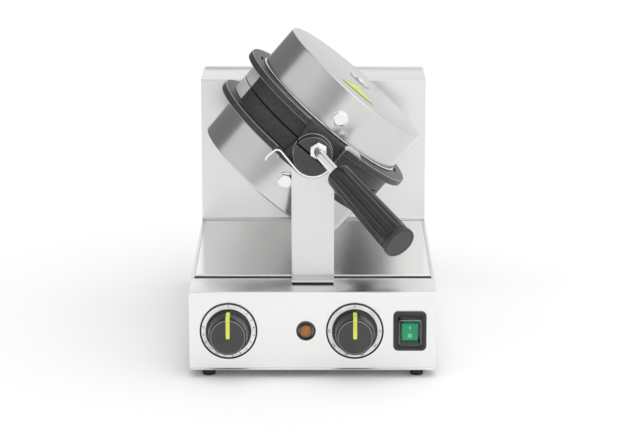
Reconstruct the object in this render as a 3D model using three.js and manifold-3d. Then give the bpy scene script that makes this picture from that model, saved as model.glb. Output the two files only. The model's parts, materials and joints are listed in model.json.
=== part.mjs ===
// Rotating waffle cone iron on a stainless stand, in millimetres, +Z up, front towards -Y.
// The stand is laid out with y = 0 on its front panel and z = 0 on the worktop. The two hinged plates are
// laid out in their own frame: the turning axis is their y axis and the parting plane is z = 0.
import * as THREE from "three";
import { mergeVertices } from "three/addons/utils/BufferGeometryUtils.js";
import Module from "manifold-3d";

const wasm = await Module();
wasm.setup();

// Driving dimensions
const gap = 0.3; // between pieces that touch
const sheet = 1.2; // stainless sheet of the stand
const width = 250;
const footHeight = 9;
const deckZ = 90.5;
const deckFront = 61.6; // front edge of the deck plate, behind an open gap
const deckMargin = 3; // top flanges of the base sides, beside the deck plate
const lipHeight = 1.7; // upstand along the front edge of the deck plate
const lipDrop = 9;
const splashY = 313.7;
const backY = 392;
const topZ = 250.2;
const stripDepth = 54.5; // flat strip along the top of the front panel
const footX = 106;
const footRows = { front: 15, rear: 375 };

const axisZ = 220.3; // turning axis above the worktop
const ironY = 168; // middle of the plates behind the front panel
const ironTilt = THREE.MathUtils.degToRad(40.6);

const postWidth = 43.6;
const postY = 53.2;
const postDepth = 8;
const postSheet = 2;
const postShoulderZ = 207;
const footFlange = 23;
const gasketHeight = 1.3;

const partingGap = 0.5; // each plate's face to the parting plane
const wallRadius = 93.2;
const ringRadius = 105;
const ringBottom = 17.8;
const ringTop = 25.6;
const drumRadius = 87.8;
const drumTop = 71.2;
const drumWall = 1.2;
const hubRadius = 19.9;
const hubFront = -123;
const neckFront = -105.4;
const neckTop = 24; // half widths of the neck behind the hub
const neckBase = 20.5;
const pocketRadius = 80;
const slotRadius = 92.4; // short arc slots through the ring, left and right

const cradleInner = 20.8;
const cradleSheet = 1.2;
const cradleDepth = 13;
const wingAngle = THREE.MathUtils.degToRad(51);
const wingLength = 26;

const hingeY = 124; // lid hinge axis behind the plates' middle and above the parting plane
const hingeZ = 26;
const shaftRadius = 11;

const handleZ = 9; // handle stud above the parting plane
const nutRadius = 9.3;
const rodRadius = 5;
const rodBend = -139;
const handleAngle = THREE.MathUtils.degToRad(46);
const gripStart = 35.8;
const gripLength = 105;
const capLength = 5;

const controlZ = 49.8; // middle of the controls above the worktop
const timerX = -85.1;
const thermostatX = 42.6;
const pilotX = -6.8;
const switchX = 98.3;
const knobLength = 24;
const rockerTilt = THREE.MathUtils.degToRad(7);

const fine = 56; // sides of the large round pieces
const middling = 36; // sides of the bearing and the knobs
const coarse = 24; // sides of the small ones

// Shapes
function block(x0, x1, y0, y1, z0, z1) {
  const box = new THREE.BoxGeometry(x1 - x0, y1 - y0, z1 - z0);
  return box.translate((x0 + x1) / 2, (y0 + y1) / 2, (z0 + z1) / 2);
}

function discZ(radius, z0, z1, x = 0, y = 0, sides = fine) {
  const disc = new THREE.CylinderGeometry(radius, radius, z1 - z0, sides);
  return disc.rotateX(Math.PI / 2).translate(x, y, (z0 + z1) / 2);
}

function discY(radius, y0, y1, x = 0, z = 0, sides = coarse) {
  const disc = new THREE.CylinderGeometry(radius, radius, y1 - y0, sides);
  return disc.translate(x, (y0 + y1) / 2, z);
}

// A block on the left (sign -1) or on the right (sign 1)
function beside(sign, near, far, y0, y1, z0, z1) {
  return block(Math.min(sign * near, sign * far), Math.max(sign * near, sign * far), y0, y1, z0, z1);
}

function discX(radius, x0, x1, y = 0, z = 0, sides = coarse) {
  const disc = new THREE.CylinderGeometry(radius, radius, x1 - x0, sides);
  return disc.rotateZ(Math.PI / 2).translate((x0 + x1) / 2, y, z);
}

// A turned piece: points are [radius, height], and the height runs along +Z
function turnedUp(points, sides = coarse) {
  const profile = points.map(([radius, height]) => new THREE.Vector2(radius, height));
  return new THREE.LatheGeometry(profile, sides).rotateX(Math.PI / 2);
}

// A turned piece whose height runs towards the front, -Y
function turnedForward(points, sides = coarse) {
  const profile = points.map(([radius, height]) => new THREE.Vector2(radius, height));
  return new THREE.LatheGeometry(profile, sides).rotateX(Math.PI);
}

// An outline in x and z, pulled back along +Y from y0 to y1
function plateXZ(points, y0, y1) {
  const outline = new THREE.Shape(points.map(([x, z]) => new THREE.Vector2(x, z)));
  const slab = new THREE.ExtrudeGeometry(outline, { depth: y1 - y0, bevelEnabled: false });
  return slab.rotateX(Math.PI / 2).translate(0, y1, 0);
}

// An outline in y and z, pulled along +X from x0 to x1
function plateYZ(points, x0, x1) {
  const outline = new THREE.Shape(points.map(([y, z]) => new THREE.Vector2(y, z)));
  const slab = new THREE.ExtrudeGeometry(outline, { depth: x1 - x0, bevelEnabled: false });
  return slab.rotateX(Math.PI / 2).rotateZ(Math.PI / 2).translate(x0, 0, 0);
}

function toSolid(geometry) {
  const bare = geometry.clone();
  bare.deleteAttribute("normal");
  bare.deleteAttribute("uv");
  const merged = mergeVertices(bare, 1e-4);
  const index = merged.index.array;
  const triangles = [];
  for (let i = 0; i < index.length; i += 3) {
    const [a, b, c] = [index[i], index[i + 1], index[i + 2]];
    if (a !== b && b !== c && c !== a) {
      triangles.push(a, b, c);
    }
  }
  const vertProperties = Float32Array.from(merged.getAttribute("position").array);
  const triVerts = Uint32Array.from(triangles);
  return new wasm.Manifold(new wasm.Mesh({ numProp: 3, vertProperties, triVerts }));
}

function toGeometry(solid) {
  const mesh = solid.getMesh();
  const geometry = new THREE.BufferGeometry();
  geometry.setAttribute("position", new THREE.BufferAttribute(mesh.vertProperties, 3));
  geometry.setIndex(new THREE.BufferAttribute(mesh.triVerts, 1));
  geometry.computeVertexNormals();
  return geometry;
}

function join(...pieces) {
  return toGeometry(pieces.map(toSolid).reduce((whole, piece) => whole.add(piece)));
}

function cut(piece, ...tools) {
  return toGeometry(tools.map(toSolid).reduce((whole, tool) => whole.subtract(tool), toSolid(piece)));
}

function common(piece, other) {
  return toGeometry(toSolid(piece).intersect(toSolid(other)));
}

// Materials
const steel = [0xc9cac8, 0.32, 0.9];
const brightSteel = [0xe2e3e2, 0.18, 1.0];
const castIron = [0x35373a, 0.7, 0.35];
const black = [0x17181a, 0.4, 0.0];
const rubber = [0x101011, 0.9, 0.0];
const silver = [0xd9dbda, 0.45, 0.5];
const lime = [0xc4cc3f, 0.5, 0.0];
const amber = [0xb0703a, 0.25, 0.0];
const green = [0x1fa355, 0.3, 0.0];
const clear = [0x9fd6b4, 0.1, 0.0];
const bronze = [0xa9834a, 0.4, 0.8];
const dullMetal = [0x8d8f90, 0.5, 0.7];
const whitePlastic = [0xd8d6cf, 0.6, 0.0];

function add(parent, name, geometry, [color, roughness, metalness]) {
  const material = new THREE.MeshStandardMaterial({ color, roughness, metalness });
  const mesh = new THREE.Mesh(geometry, material);
  mesh.name = name;
  parent.add(mesh);
  return mesh;
}

const stand = new THREE.Group();
const iron = new THREE.Group();
iron.position.set(0, ironY, axisZ);
iron.rotation.y = ironTilt;
stand.add(iron);

// Stand: sheet panels
const half = width / 2;
const inner = half - sheet - gap;
const knobHole = 5;
const pilotHole = 8.2;
const switchOpening = { w: 27, h: 34 };
const frontPanel = join(
  block(-half, half, 0, sheet, footHeight, deckZ),
  block(-half, half, 0, stripDepth - gap, deckZ - sheet, deckZ),
);
add(stand, "front_panel", cut(
  frontPanel,
  discY(knobHole, -1, sheet + 1, timerX, controlZ),
  discY(knobHole, -1, sheet + 1, thermostatX, controlZ),
  discY(pilotHole, -1, sheet + 1, pilotX, controlZ),
  block(
    switchX - switchOpening.w / 2, switchX + switchOpening.w / 2,
    -1, sheet + 1,
    controlZ - switchOpening.h / 2, controlZ + switchOpening.h / 2,
  ),
), steel);

const sheetBack = backY - sheet - gap;
const underDeck = deckZ - sheet - gap;
const columnY = splashY + sheet + gap;
for (const [side, sign] of [["left", -1], ["right", 1]]) {
  const base = join(
    beside(sign, half - sheet, half, sheet + gap, sheetBack, footHeight, underDeck),
    beside(sign, half - sheet, half, stripDepth + gap, splashY - gap, footHeight, deckZ),
    beside(sign, half - deckMargin, half, stripDepth + gap, splashY - gap, deckZ - sheet, deckZ),
  );
  add(stand, `${side}_base_side`, base, steel);
  const column = beside(sign, half - sheet, half, columnY, sheetBack, underDeck + gap, topZ - sheet - gap);
  add(stand, `${side}_column_side`, column, steel);
}

function slots(count, x0, x1, pitch, make) {
  return Array.from({ length: count }, (_, i) => make(x0, x1, (i - (count - 1) / 2) * pitch));
}

const floorSlots = { count: 5, half: 40, pitch: 14, y: 190, width: 4 };
add(stand, "bottom_plate", cut(
  block(-inner, inner, sheet + gap, sheetBack, footHeight, footHeight + sheet),
  ...slots(floorSlots.count, -floorSlots.half, floorSlots.half, floorSlots.pitch, (x0, x1, y) => block(
    x0, x1,
    floorSlots.y + y - floorSlots.width / 2, floorSlots.y + y + floorSlots.width / 2,
    0, footHeight + sheet + 5,
  )),
), steel);

const glandZ = 40;
const glandX = -70;
const glandHole = 8.3;
const rearSlots = { count: 6, half: 60, pitch: 11, z: 130, width: 3 };
add(stand, "rear_cover", cut(
  block(-half, half, backY - sheet, backY, footHeight, topZ - sheet - gap),
  ...slots(rearSlots.count, -rearSlots.half, rearSlots.half, rearSlots.pitch, (x0, x1, z) => block(
    x0, x1,
    backY - 5, backY + 5,
    rearSlots.z + z - rearSlots.width / 2, rearSlots.z + z + rearSlots.width / 2,
  )),
  discY(glandHole, backY - 5, backY + 5, glandX, glandZ),
), steel);

const deckHalf = half - deckMargin - gap;
add(stand, "deck_plate", join(
  block(-deckHalf, deckHalf, deckFront, splashY + sheet, deckZ - sheet, deckZ),
  block(-deckHalf, deckHalf, deckFront, deckFront + sheet, deckZ - lipDrop, deckZ + lipHeight),
), steel);

const bearingHole = 19;
add(stand, "splash_panel", cut(
  join(
    block(-half, half, splashY, splashY + sheet, deckZ + gap, topZ),
    block(-half, half, splashY, backY, topZ - sheet, topZ),
  ),
  discY(bearingHole, splashY - 5, splashY + 5, 0, axisZ),
), steel);

// Rubber feet under the four corners
const footTread = 6.6;
const footRadius = 7.3;
for (const [row, y] of Object.entries(footRows)) {
  for (const [side, x] of [["left", -footX], ["right", footX]]) {
    const foot = turnedUp([
      [0, 0], [footTread, 0], [footRadius, footHeight - gap], [0, footHeight - gap],
    ], 20);
    add(stand, `foot_${row}_${side}`, foot.translate(x, y, 0), rubber);
  }
}

// Front post: a folded channel with a foot flange and a round seat cut in its top
const postHalf = postWidth / 2;
const postFoot = deckZ + gasketHeight + 2 * gap;
const gasketInset = 0.6;
add(stand, "post_gasket", block(
  -postHalf + gasketInset, postHalf - gasketInset,
  postY - footFlange + gasketInset, stripDepth - 1,
  deckZ + gap, postFoot - gap,
), rubber);
add(stand, "front_post", cut(
  join(
    block(-postHalf, postHalf, postY, postY + postDepth, postFoot, postShoulderZ),
    block(-postHalf, postHalf, postY - footFlange, postY + postSheet, postFoot, postFoot + postSheet),
  ),
  block(
    -postHalf + postSheet, postHalf - postSheet,
    postY + postSheet, postY + postDepth + 5,
    0, postShoulderZ + 5,
  ),
  discY(cradleInner + cradleSheet + gap, 0, 100, 0, axisZ, fine),
), steel);

// Cradle: a bent strip that lines the seat, rises on both sides as a wing and turns down in a hook
const crown = [[1.7, 1.4], [3.6, 1.1]]; // the bend at the top of a wing, from where the wing ends
const hookEnd = [14.2, -7.2];
function cradleLine() {
  const radius = cradleInner + cradleSheet / 2;
  const right = [];
  const arcSteps = 8;
  for (let i = 0; i <= arcSteps; i++) {
    const angle = (wingAngle * i) / arcSteps;
    right.push([radius * Math.sin(angle), -radius * Math.cos(angle)]);
  }
  const [startX, startZ] = right[right.length - 1];
  const crestX = startX + wingLength * Math.cos(wingAngle);
  const crestZ = startZ + wingLength * Math.sin(wingAngle);
  for (const [x, z] of [[0, 0], ...crown, hookEnd]) {
    right.push([crestX + x, crestZ + z]);
  }
  const left = right.slice(1).map(([x, z]) => [-x, z]).reverse();
  return [...left, ...right];
}

// The closed outline of a strip of even thickness along a line of points
function stripOutline(line, thickness) {
  const sides = [[], []];
  line.forEach(([x, z], i) => {
    const [ax, az] = line[Math.max(i - 1, 0)];
    const [bx, bz] = line[Math.min(i + 1, line.length - 1)];
    const length = Math.hypot(bx - ax, bz - az);
    const nx = -(bz - az) / length;
    const nz = (bx - ax) / length;
    sides[0].push([x + (nx * thickness) / 2, z + (nz * thickness) / 2]);
    sides[1].push([x - (nx * thickness) / 2, z - (nz * thickness) / 2]);
  });
  return [...sides[0], ...sides[1].reverse()];
}

const cradleBack = postY + postDepth;
const cradle = plateXZ(stripOutline(cradleLine(), cradleSheet), cradleBack - cradleDepth, cradleBack);
add(stand, "cradle_strip", cradle.translate(0, 0, axisZ), brightSteel);

// Rear bearing in the splash: flanged housing, bush, and the collar that keeps the shaft in
const bushOuter = shaftRadius + 3;
const sleeveEnd = 42;
const bearingFlange = { radius: 30, thickness: 4 };
const housing = cut(
  join(
    discY(bearingFlange.radius, -bearingFlange.thickness - gap, -gap, 0, 0, middling),
    discY(bearingHole - gap, -bearingFlange.thickness - gap, sleeveEnd, 0, 0, middling),
  ),
  discY(bushOuter + gap, -10, sleeveEnd + 5, 0, 0, middling),
);
add(stand, "bearing_housing", housing.translate(0, splashY, axisZ), dullMetal);
const bush = cut(
  discY(bushOuter, -bearingFlange.thickness, sleeveEnd, 0, 0, middling),
  discY(shaftRadius + gap, -10, sleeveEnd + 5, 0, 0, middling),
);
add(stand, "bearing_bush", bush.translate(0, splashY, axisZ), bronze);

// Controls behind the front panel
const plateThickness = 0.8;
const dialRadius = 29.2;
const shaftEnd = -20;
const spindleRadius = 3;
const controlFace = 5;
const controlBody = { w: 44, h: 40, depth: 34 };
const knobRadius = 23;
const skirtHeight = 5;
const gripRadius = 20.6; // the narrower part of the knob, in front of its skirt
const pointerWidth = 4;
const pointerThickness = 0.8;
for (const [name, x] of [["timer", timerX], ["thermostat", thermostatX]]) {
  const dial = cut(discY(dialRadius, -gap - plateThickness, -gap, 0, 0, 40), discY(knobHole, -5, 5));
  add(stand, `${name}_dial_plate`, dial.translate(x, 0, controlZ), silver);
  const body = block(
    -controlBody.w / 2, controlBody.w / 2,
    controlFace, controlFace + controlBody.depth,
    -controlBody.h / 2, controlBody.h / 2,
  );
  add(stand, `${name}_body`, body.translate(x, 0, controlZ), whitePlastic);
  const shaft = discY(spindleRadius, shaftEnd, controlFace - gap, 0, 0, 16);
  add(stand, `${name}_shaft`, shaft.translate(x, 0, controlZ), dullMetal);
  const knobBack = gap + plateThickness + gap;
  const bore = -shaftEnd - knobBack + gap;
  const knob = turnedForward([
    [0, bore], [spindleRadius + gap, bore], [spindleRadius + gap, 0],
    [knobRadius, 0], [knobRadius, skirtHeight - 1.5], [knobRadius - 1.4, skirtHeight],
    [gripRadius, skirtHeight + 2], [gripRadius - 2.2, knobLength - 1.5],
    [gripRadius - 3.6, knobLength], [0, knobLength],
  ], 40);
  add(stand, `${name}_knob`, knob.translate(x, -knobBack, controlZ), black);
  const face = -knobLength - 0.35;
  const front = face - pointerThickness;
  const pointerFoot = -skirtHeight - 2.3;
  const bar = plateYZ([
    [face, -2.5], [front, -2.5], [front, gripRadius - 3.2], [front + 1.95, gripRadius - 0.8],
    [pointerFoot, gripRadius + 1.6], [pointerFoot, gripRadius + 0.6],
    [face + 1.65, gripRadius - 1.7], [face, gripRadius - 3.3],
  ], -pointerWidth / 2, pointerWidth / 2);
  add(stand, `${name}_pointer`, bar.translate(x, -knobBack, controlZ), lime);
}

const limitSize = { w: 28, depth: 22, h: 20 };
const limitSwitch = block(-limitSize.w / 2, limitSize.w / 2, 0, limitSize.depth, 0, limitSize.h);
add(stand, "limit_thermostat", limitSwitch.translate(0, 40, 34), whitePlastic);

const pilotRim = 9.85;
const pilotDepth = 8;
const lensRadius = 7.2;
const pilotBezel = turnedForward([
  [lensRadius + gap, -pilotDepth], [pilotHole - gap, -pilotDepth], [pilotHole - gap, gap],
  [pilotRim, gap], [pilotRim, 2.2], [pilotRim - 0.85, 3.2],
  [lensRadius + gap, 2.6], [lensRadius + gap, -pilotDepth],
]);
add(stand, "pilot_bezel", pilotBezel.translate(pilotX, 0, controlZ), black);
const pilotLens = turnedForward([
  [0, -pilotDepth], [lensRadius, -pilotDepth], [lensRadius, 2.2], [lensRadius - 1, 3.6],
  [lensRadius / 2, 4.6], [0, 4.9],
]);
add(stand, "pilot_lens", pilotLens.translate(pilotX, 0, controlZ), amber);

// Rocker switch under its clear splash cover
const rockerY = 1.5;
const bezelFront = 3.2;
const bezelSize = { w: 33.6, h: 41 };
const windowSize = { w: 24.4, h: 28.4 };
const coverDepth = 9;
const coverWall = 1;
const housingSize = { w: 26, h: 33, depth: 26 };
const rockerSize = { w: 15.8, h: 17.8 };
const rockerGap = 1.4; // room for the rocker to tip in its housing

function middleBlock({ w, h }, y0, y1, less = 0) {
  return block(less - w / 2, w / 2 - less, y0, y1, less - h / 2, h / 2 - less);
}

const bezel = cut(middleBlock(bezelSize, -bezelFront, -gap), middleBlock(windowSize, -10, 5));
add(stand, "switch_bezel", bezel.translate(switchX, 0, controlZ), black);
const cover = cut(
  middleBlock(windowSize, -coverDepth, -gap, gap),
  middleBlock(windowSize, coverWall - coverDepth, 5, gap + coverWall),
);
add(stand, "switch_cover", cover.translate(switchX, 0, controlZ), clear);
const switchHousing = cut(
  middleBlock(housingSize, gap, housingSize.depth),
  middleBlock({ w: rockerSize.w + rockerGap, h: rockerSize.h + 2 * rockerGap }, -5, 10),
);
add(stand, "switch_housing", switchHousing.translate(switchX, 0, controlZ), black);
const rockerHalf = rockerSize.h / 2;
const rocker = plateYZ([
  [4, -5], [4, 5], [-1, rockerHalf], [-5.2, rockerHalf], [-3.9, 0], [-5.2, -rockerHalf], [-1, -rockerHalf],
], -rockerSize.w / 2, rockerSize.w / 2);
rocker.rotateX(rockerTilt);
add(stand, "switch_rocker", rocker.translate(switchX, rockerY, controlZ), green);

const terminals = { w: 60, y: 330, depth: 22, top: 34, ways: 5, pitch: 11, pocket: 7 };
add(stand, "terminal_block", cut(
  block(
    -terminals.w / 2, terminals.w / 2,
    terminals.y, terminals.y + terminals.depth,
    footHeight + sheet + gap, terminals.top,
  ),
  ...slots(terminals.ways, -terminals.pocket / 2, terminals.pocket / 2, terminals.pitch, (x0, x1, x) => block(
    x + x0, x + x1,
    terminals.y - 5, terminals.y + 6,
    20, terminals.top + 6,
  )),
), whitePlastic);
const glandBore = 4;
const glandNut = 12;
const glandReach = 14;
const gland = turnedForward([
  [glandBore, -glandReach], [8.5, -glandReach], [9.5, -7.5], [glandNut, -6], [glandNut, -gap],
  [glandHole - gap, -gap], [glandHole - gap, glandReach],
  [glandBore, glandReach], [glandBore, -glandReach],
], 18);
add(stand, "cable_gland", gland.translate(glandX, backY, glandZ), black);

// Plates: each casting is a dished round plate with a flange ring, a half hub in front and a lug behind
const pocketFloor = 12; // thickness of the cooking plate itself
const lugHalf = 26;
const lugBack = 108;
const slotWidth = 2.4;
const slotHalf = 9;
function casting() {
  const dish = discZ(wallRadius, partingGap, ringTop);
  const ring = discZ(ringRadius, ringBottom, ringTop);
  const upperHalf = block(-40, 40, -140, 0, partingGap, 60);
  const hub = common(discY(hubRadius, hubFront, -pocketRadius, 0, 0, 48), upperHalf);
  const neck = plateXZ([
    [-neckBase, partingGap], [neckBase, partingGap], [neckTop, ringTop], [-neckTop, ringTop],
  ], neckFront, -pocketRadius);
  const lug = block(-lugHalf, lugHalf, pocketRadius, lugBack, 3, ringTop);
  const pocket = discZ(pocketRadius, pocketFloor, ringTop + 5);
  const slotRing = cut(
    discZ(slotRadius + slotWidth / 2, 0, 40),
    discZ(slotRadius - slotWidth / 2, -1, 41),
  );
  const slotSides = join(
    beside(-1, 85, 120, -slotHalf, slotHalf, ringBottom - 3, 40),
    beside(1, 85, 120, -slotHalf, slotHalf, ringBottom - 3, 40),
  );
  return cut(join(dish, ring, hub, neck, lug), pocket, common(slotRing, slotSides));
}

function drum() {
  const base = ringTop + gap;
  const bend = 2.4;
  return turnedUp([
    [0, drumTop], [drumRadius - bend, drumTop],
    [drumRadius - 0.7, drumTop - 0.7], [drumRadius, drumTop - bend],
    [drumRadius, base], [drumRadius - drumWall, base],
    [drumRadius - drumWall, drumTop - bend],
    [drumRadius - bend, drumTop - drumWall], [0, drumTop - drumWall],
  ].reverse(), fine);
}

const boltZ = 43;
const boltRadius = 8.2;
const boltHead = 6.5;
function drumBolt() {
  const head = discY(boltRadius, -drumRadius - boltHead, -drumRadius - gap, 0, 0, 6);
  return head.translate(0, 0, boltZ);
}

const screwX = 4;
const screwY = 22;
function drumScrew() {
  const head = turnedUp([[0, 0], [5, 0], [5, 1.2], [3.4, 2.4], [0, 2.8]], 16);
  return head.translate(screwX, screwY, drumTop + gap);
}

const heaterOuter = 62;
const heaterInner = 50;
const heaterHeight = 9;
function heater() {
  const bottom = pocketFloor + 1;
  return cut(
    discZ(heaterOuter, bottom, bottom + heaterHeight, 0, 0, 40),
    discZ(heaterInner, bottom - 3, bottom + heaterHeight + 8, 0, 0, 40),
  );
}

function flipped(geometry) {
  return geometry.rotateY(Math.PI);
}

const studHole = discY(rodRadius + gap, hubFront - 5, hubFront + 18, 0, handleZ, 20);
const tongueHalf = 17;
const tongueFront = 100;
const tongueSlot = block(-tongueHalf - gap, tongueHalf + gap, tongueFront, 120, ringBottom - 5, 60);
add(iron, "upper_casting", cut(casting(), studHole, tongueSlot), castIron);
add(iron, "lower_casting", flipped(casting()), castIron);
add(iron, "upper_drum", drum(), brightSteel);
add(iron, "lower_drum", flipped(drum()), brightSteel);
add(iron, "upper_heater", heater(), dullMetal);
add(iron, "lower_heater", flipped(heater()), dullMetal);
add(iron, "upper_drum_bolt", drumBolt(), brightSteel);
add(iron, "lower_drum_bolt", flipped(drumBolt()), brightSteel);
add(iron, "upper_drum_screw", drumScrew(), brightSteel);
add(iron, "lower_drum_screw", flipped(drumScrew()), brightSteel);

// Rear hinge: a yoke bolted to the lower plate, a tongue on the lid and the pin through both
const pinRadius = 4;
const yokeFront = lugBack + gap;
const yokeBack = 118;
const yokeHalf = 25;
const yokeInner = 18;
const yokeBottom = -22;
const eyeRadius = 9;
const yoke = cut(
  join(
    block(-yokeHalf, yokeHalf, yokeFront, yokeBack, yokeBottom, hingeZ - 12),
    block(-yokeHalf, -yokeInner, yokeFront, hingeY + eyeRadius, yokeBottom, hingeZ),
    block(yokeInner, yokeHalf, yokeFront, hingeY + eyeRadius, yokeBottom, hingeZ),
    discX(eyeRadius, -yokeHalf, -yokeInner, hingeY, hingeZ),
    discX(eyeRadius, yokeInner, yokeHalf, hingeY, hingeZ),
  ),
  discX(pinRadius + gap, -40, 40, hingeY, hingeZ, 16),
);
add(iron, "hinge_yoke", yoke, castIron);
const tongue = cut(
  join(
    block(-tongueHalf, tongueHalf, tongueFront + gap, hingeY, ringBottom, ringTop),
    discX(eyeRadius - 0.5, -tongueHalf, tongueHalf, hingeY, hingeZ),
  ),
  discX(pinRadius + gap, -40, 40, hingeY, hingeZ, 16),
);
add(iron, "hinge_tongue", tongue, castIron);
add(iron, "hinge_pin", discX(pinRadius, -28, 28, hingeY, hingeZ, 16), brightSteel);
const shaftBack = splashY - ironY + sleeveEnd + 14;
const shaftFlange = { radius: 17, back: 126 };
const shaftBore = 6;
const shaft = join(
  discY(shaftFlange.radius, yokeBack + gap, shaftFlange.back, 0, 0, 32),
  discY(shaftRadius, yokeBack + gap, shaftBack, 0, 0, 32),
);
add(iron, "rear_shaft", cut(shaft, discY(shaftBore, 100, shaftBack + 5, 0, 0, 20)), dullMetal);
const collarRadius = 18;
const collarWidth = 10;
const collar = cut(
  discY(collarRadius, -collarWidth, 0, 0, 0, 32),
  discY(shaftRadius + gap, -20, 20, 0, 0, 32),
);
add(iron, "shaft_collar", collar.translate(0, shaftBack - 2, 0), dullMetal);

// Handle: nut on the stud, bent rod, ribbed grip and its end cap
const nutFace = hubFront - gap;
const nutLength = 8;
const nut = cut(
  discY(nutRadius, nutFace - nutLength, nutFace, 0, 0, 6).rotateY(-ironTilt),
  discY(rodRadius + gap, nutFace - nutLength - 2, nutFace + 2, 0, 0, 20),
);
add(iron, "handle_nut", nut.translate(0, 0, handleZ), brightSteel);

const outward = new THREE.Vector3(Math.sin(handleAngle), -Math.cos(handleAngle), 0);
const bendPoint = new THREE.Vector3(0, rodBend, handleZ);
const bendReach = 8;
const rodEnd = bendPoint.clone().addScaledVector(outward, gripStart + 12);
const rodPath = new THREE.CurvePath();
const beforeBend = new THREE.Vector3(0, rodBend + bendReach, handleZ);
const afterBend = bendPoint.clone().addScaledVector(outward, bendReach);
rodPath.add(new THREE.LineCurve3(new THREE.Vector3(0, hubFront + 16, handleZ), beforeBend));
rodPath.add(new THREE.QuadraticBezierCurve3(beforeBend, bendPoint, afterBend));
rodPath.add(new THREE.LineCurve3(afterBend, rodEnd));
const rodSection = new THREE.Shape().absarc(0, 0, rodRadius, 0, 2 * Math.PI);
add(iron, "handle_rod", new THREE.ExtrudeGeometry(rodSection, {
  steps: 22, curveSegments: 7, extrudePath: rodPath,
}), brightSteel);

function alongHandle(geometry, distance) {
  const turn = new THREE.Quaternion().setFromUnitVectors(new THREE.Vector3(0, 0, 1), outward);
  const place = bendPoint.clone().addScaledVector(outward, distance);
  return geometry.applyQuaternion(turn).translate(place.x, place.y, place.z);
}

const gripBore = 14;
const gripNarrow = 13;
const gripWide = 15.6;
const capRadius = 16.6;
const grip = turnedUp([
  [0, gripBore], [rodRadius + gap, gripBore], [rodRadius + gap, 0],
  [gripNarrow - 1.5, 0], [gripNarrow, 2], [gripNarrow + 0.4, 12],
  [gripWide - 0.2, gripLength - 10], [gripWide, gripLength], [0, gripLength],
], 32);
add(iron, "handle_grip", alongHandle(grip, gripStart), black);
const cap = turnedUp([
  [0, 0], [capRadius - 0.2, 0], [capRadius, capLength - 1.5], [capRadius - 1.4, capLength], [0, capLength],
], 32);
add(iron, "handle_end_cap", alongHandle(cap, gripStart + gripLength + gap), black);

// Warning triangle on top of the upper drum, its flat side towards the handle
const markerHalf = 21;
const markerDepth = 37;
const markerFront = -59;
const markerThickness = 0.3;
const marker = new THREE.ExtrudeGeometry(new THREE.Shape([
  new THREE.Vector2(-markerHalf, 0), new THREE.Vector2(markerHalf, 0), new THREE.Vector2(0, markerDepth),
]), { depth: markerThickness, bevelEnabled: false });
add(iron, "heat_marker", marker.translate(0, markerFront, drumTop + gap), lime);

// The origin is the middle of the whole box, on the worktop
stand.updateMatrixWorld(true);
const bounds = new THREE.Box3().setFromObject(stand, true);
const middle = bounds.getCenter(new THREE.Vector3());
const machine = new THREE.Group();
stand.position.set(-middle.x, -middle.y, 0);
machine.add(stand);

export default machine;
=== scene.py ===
import json
import math

import bmesh
import bpy
from mathutils import Matrix, Vector


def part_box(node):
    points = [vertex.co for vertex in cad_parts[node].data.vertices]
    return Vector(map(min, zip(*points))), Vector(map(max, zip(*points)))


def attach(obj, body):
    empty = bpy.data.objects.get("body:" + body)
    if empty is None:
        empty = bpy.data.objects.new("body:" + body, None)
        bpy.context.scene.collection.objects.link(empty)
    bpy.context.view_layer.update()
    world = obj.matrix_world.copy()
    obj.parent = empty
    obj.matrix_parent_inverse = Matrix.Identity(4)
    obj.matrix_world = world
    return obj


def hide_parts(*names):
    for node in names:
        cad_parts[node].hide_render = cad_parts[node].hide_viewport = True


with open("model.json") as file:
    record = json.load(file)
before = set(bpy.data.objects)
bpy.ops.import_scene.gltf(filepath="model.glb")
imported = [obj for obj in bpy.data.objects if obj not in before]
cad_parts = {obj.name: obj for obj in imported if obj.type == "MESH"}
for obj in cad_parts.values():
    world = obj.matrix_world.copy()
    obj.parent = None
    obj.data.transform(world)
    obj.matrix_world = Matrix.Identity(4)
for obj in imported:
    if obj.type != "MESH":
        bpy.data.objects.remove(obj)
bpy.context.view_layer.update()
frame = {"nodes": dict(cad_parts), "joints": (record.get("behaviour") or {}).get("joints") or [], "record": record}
print("frame loaded")

mm = 0.001
joints = {joint["name"]: joint for joint in frame["joints"]}
finishes = {part["node"]: part["material_slot"] for part in frame["record"]["subparts"]}

# the stand is measured back from its front panel and up from the worktop
panelLow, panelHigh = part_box("front_panel")
frontY = panelLow.y
deckTop = panelHigh.z
standHalf = panelHigh.x
atFront = Matrix.Translation((0, frontY, 0))

# the two plates are laid out level about their turning axis, and turned into place when they are finished
turningAxis = Vector(joints["iron_turn"]["pos_m"])
hingeAxis = joints["lid_open"]["axis"]
ironTilt = math.atan2(hingeAxis[2], -hingeAxis[0])
ironPlace = Matrix.Translation(turningAxis) @ Matrix.Rotation(ironTilt, 4, "Y")
turnOver = Matrix.Rotation(math.pi, 4, "Y")


# camera

camera = {"right": 7.4, "back": -2505.8, "up": 766.8, "pitch": 13.36, "focal": 2574, "frameWidth": 640}


def addCamera():
    data = bpy.data.cameras.new("camera")
    data.sensor_width = 36
    data.lens = data.sensor_width * camera["focal"] / camera["frameWidth"]
    data.clip_end = 50
    made = bpy.data.objects.new("camera", data)
    made.location = atFront @ (Vector((camera["right"], camera["back"], camera["up"])) * mm)
    made.rotation_euler = (math.radians(90 - camera["pitch"]), 0, 0)
    bpy.context.collection.objects.link(made)
    bpy.context.scene.camera = made


addCamera()


# studio

studio = {
    "floorSize": 14,
    "floorColour": 0.93,
    "skyStrength": 1.5,
    # sky brightness by bearing, from straight behind through the left, the front and the right
    "sky": [
        (-180, 0.62), (-171, 0.72), (-166, 0.17), (-100, 0.15), (-96, 0.55), (-48, 0.55), (-14, 0.3),
        (-4, 0.5), (4, 0.86), (40, 0.95), (90, 0.66), (165, 0.56), (180, 0.62),
    ],
}


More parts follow.
